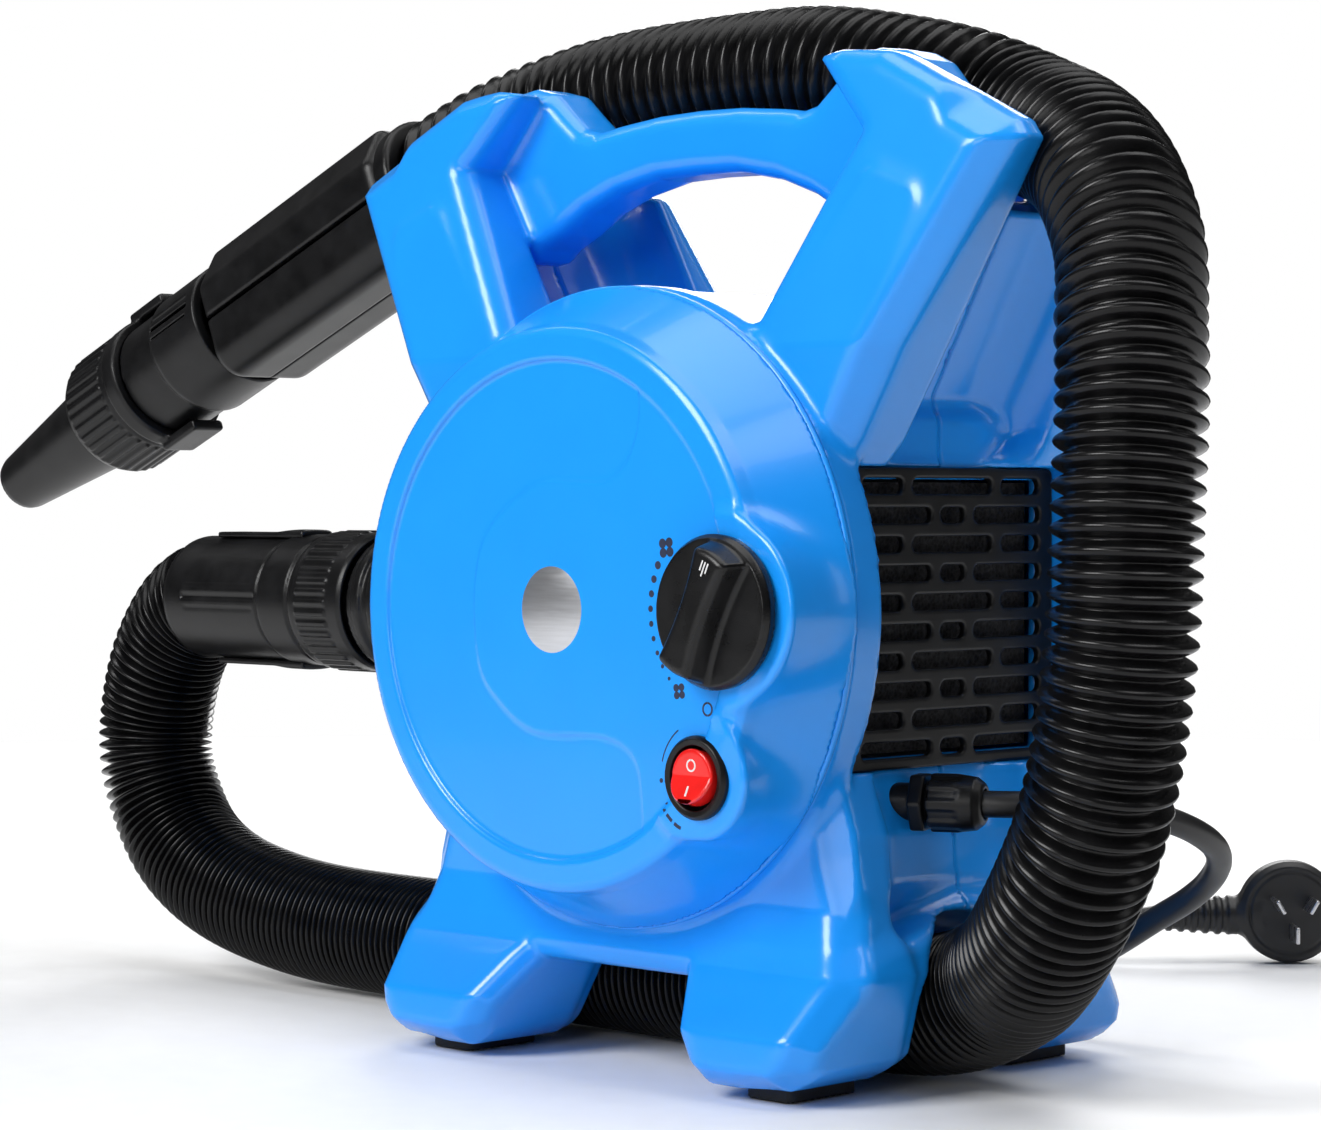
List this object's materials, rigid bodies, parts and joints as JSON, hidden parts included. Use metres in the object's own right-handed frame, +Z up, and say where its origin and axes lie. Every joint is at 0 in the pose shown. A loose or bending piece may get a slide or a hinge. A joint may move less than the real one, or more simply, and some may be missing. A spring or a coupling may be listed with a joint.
{
  "type": "portable air mover",
  "caption": "Portable air mover: a moulded body on feet with carry handle, speed knob, heat switch, side intake grille, and a corrugated hose to a handpiece with nozzle.",
  "frame": {"origin": "on the floor under the middle of the body, midway between the four feet", "axes": "+X to the body's right, the intake side, seen from the front; +Y to the rear; +Z up. The face with the controls looks along -Y, and the outlet leaves along -X"},
  "size_m": [0.6946, 0.4774, 0.3747],
  "materials": {
    "blue_shell": "glossy moulded plastic",
    "black_plastic": "satin moulded plastic",
    "knob_plastic": "satin",
    "badge": "spun satin",
    "red_rocker": "glossy, slightly translucent",
    "steel": "plain",
    "aluminium": "cast satin",
    "lamination": "varnished",
    "brass": "plain",
    "foam": "open foam",
    "pale_plastic": "satin",
    "rubber": "matt",
    "mica": "matt board",
    "circuit_board": "lacquered",
    "hose_plastic": "glossy ribbed",
    "cord_rubber": "satin sheath",
    "tie": "woven"
  },
  "bodies": {
    "housing": {"front_shell": "blue_shell", "rear_shell": "blue_shell", "carry_handle": "blue_shell", "front_cover": "blue_shell", "badge": "badge", "potentiometer": "aluminium", "switch_bezel": "black_plastic", "switch_body": "black_plastic", "air_filter": "foam", "fan_housing": "pale_plastic", "fan_cover": "pale_plastic", "motor_frame": "aluminium", "stator": "lamination", "front_bearing": "steel", "rear_bearing": "steel", "brush_holders": "brass", "front_motor_mount": "rubber", "rear_motor_mount": "rubber", "heater_frame": "mica", "heater_coil": "steel", "outlet_duct": "pale_plastic", "control_board": "circuit_board", "heat_sink": "steel", "terminal_block": "pale_plastic", "outlet_flange": "black_plastic", "outlet_tube": "black_plastic", "outlet_seal": "rubber", "hose_cuff": "black_plastic", "cuff_latches": "black_plastic", "air_hose": "hose_plastic", "hand_cuff": "black_plastic", "grip_shell_left": "black_plastic", "grip_shell_right": "black_plastic", "hand_barrel": "black_plastic", "cord_gland": "black_plastic", "gland_nut": "black_plastic", "power_cord": "cord_rubber", "cord_coil": "cord_rubber", "cord_lead": "cord_rubber", "cord_tie": "tie", "plug_relief": "cord_rubber", "plug_body": "cord_rubber", "plug_pins": "steel", "rubber_feet": "rubber", "shell_screws": "steel"},
    "knob": {"speed_knob": "knob_plastic", "pot_shaft": "steel"},
    "rocker": {"heat_rocker": "red_rocker"},
    "grille": {"side_grille": "black_plastic"},
    "rotor": {"impeller": "aluminium", "rotor_core": "lamination", "commutator": "brass", "motor_shaft": "steel"},
    "collar": {"outlet_collar": "black_plastic"},
    "nozzle": {"nozzle": "black_plastic"},
    "nozzle_nut": {"nozzle_nut": "black_plastic"}
  },
  "joints": [
    {"name": "knob_turn", "type": "hinge", "parent": "housing", "child": "knob", "pos_m": [0.081, -0.1, 0.161], "axis": [0, 1, 0], "range_deg": [0, 115]},
    {"name": "heat_switch", "type": "hinge", "parent": "housing", "child": "rocker", "pos_m": [0.0705, -0.098, 0.107], "axis": [1, 0, 0], "range_deg": [0, 24]},
    {"name": "grille_pull", "type": "slide", "parent": "housing", "child": "grille", "axis": [1, 0, 0], "range_m": [0, 0.02]},
    {"name": "rotor_spin", "type": "hinge", "parent": "housing", "child": "rotor", "pos_m": [0, -0.004, 0.157], "axis": [1, 0, 0], "continuous": true},
    {"name": "outlet_collar_turn", "type": "hinge", "parent": "housing", "child": "collar", "pos_m": [-0.206, -0.004, 0.157], "axis": [1, 0, 0], "range_deg": [0, 40]},
    {"name": "nozzle_pull", "type": "slide", "parent": "housing", "child": "nozzle", "axis": [-0.9239, 0, -0.3827], "range_m": [0, 0.04]},
    {"name": "nozzle_nut_turn", "type": "hinge", "parent": "nozzle", "child": "nozzle_nut", "pos_m": [-0.37471, 0.01, 0.24111], "axis": [-0.9239, 0, -0.3827], "range_deg": [0, 40]}
  ]
}
